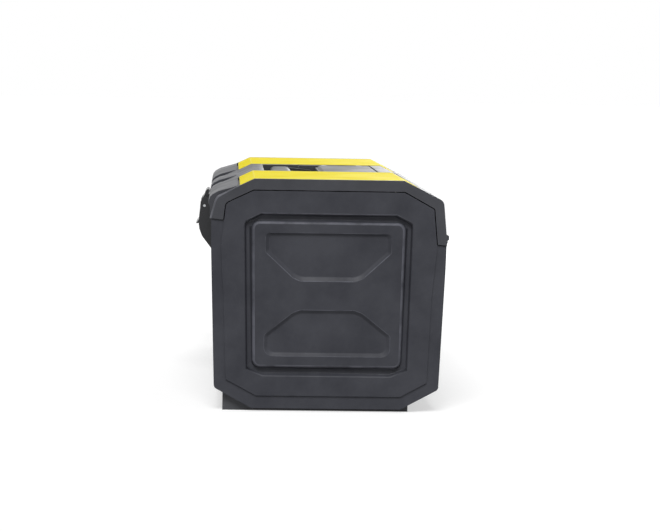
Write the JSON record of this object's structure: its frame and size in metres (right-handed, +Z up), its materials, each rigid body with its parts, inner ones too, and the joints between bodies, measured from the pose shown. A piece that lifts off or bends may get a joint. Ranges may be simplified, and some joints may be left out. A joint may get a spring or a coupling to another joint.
{
  "type": "tool box",
  "caption": "Long plastic tool box with octagonal ends, a rear-hinged lid with coloured top panels, a folding recessed handle, a front draw latch and a lift-out tray.",
  "frame": {"origin": "on the underside of the base, below the middle of the box between its end faces and side walls", "axes": "+X along the box's length, to the right end seen from the latch side; +Y from the latch side to the hinge side; +Z up"},
  "size_m": [0.71, 0.3177, 0.2887],
  "materials": {
    "black_moulding": "fine moulded texture, satin",
    "base_moulding": "fine moulded texture, satin",
    "lid_moulding": "fine moulded texture, satin",
    "yellow_moulding": "smooth moulded, half gloss",
    "handle_moulding": "satin",
    "latch_moulding": "half gloss",
    "tray_moulding": "satin",
    "divider_moulding": "satin",
    "steel": "zinc plated"
  },
  "bodies": {
    "tub": {"body": "black_moulding", "base_skid": "base_moulding", "base_screws": "steel", "hinge_pins": "steel", "latch_base": "latch_moulding", "latch_screws": "steel", "lever_pins": "steel"},
    "lid": {"lid": "lid_moulding", "left_top_panel": "yellow_moulding", "right_top_panel": "yellow_moulding", "middle_cover": "lid_moulding", "cover_screws": "steel", "handle_pins": "steel", "lid_keeper": "latch_moulding", "keeper_screws": "steel"},
    "handle": {"handle": "handle_moulding"},
    "lever": {"latch_lever": "latch_moulding", "claw_pin": "steel"},
    "claw": {"latch_claw": "latch_moulding"},
    "tray": {"lift_out_tray": "tray_moulding", "tray_dividers": "divider_moulding"}
  },
  "joints": [
    {"name": "lid_hinge", "type": "hinge", "parent": "tub", "child": "lid", "pos_m": [0, 0.145, 0.2125], "axis": [-1, 0, 0], "range_deg": [0, 100]},
    {"name": "handle_pivot", "type": "hinge", "parent": "lid", "child": "handle", "pos_m": [0, -0.012, 0.274], "axis": [-1, 0, 0], "range_deg": [0, 90]},
    {"name": "lever_pivot", "type": "hinge", "parent": "tub", "child": "lever", "pos_m": [0, -0.157, 0.2362], "axis": [-1, 0, 0], "range_deg": [0, 90]},
    {"name": "claw_pivot", "type": "hinge", "parent": "lever", "child": "claw", "pos_m": [0, -0.157, 0.2252], "axis": [-1, 0, 0], "range_deg": [-103.5, 0]},
    {"name": "tray_lift", "type": "slide", "parent": "tub", "child": "tray", "axis": [0, 0, 1], "range_m": [0, 0.018]}
  ],
  "couplings": [
    {"joint": "claw_pivot", "follows": "lever_pivot", "ratio": -1.15}
  ]
}
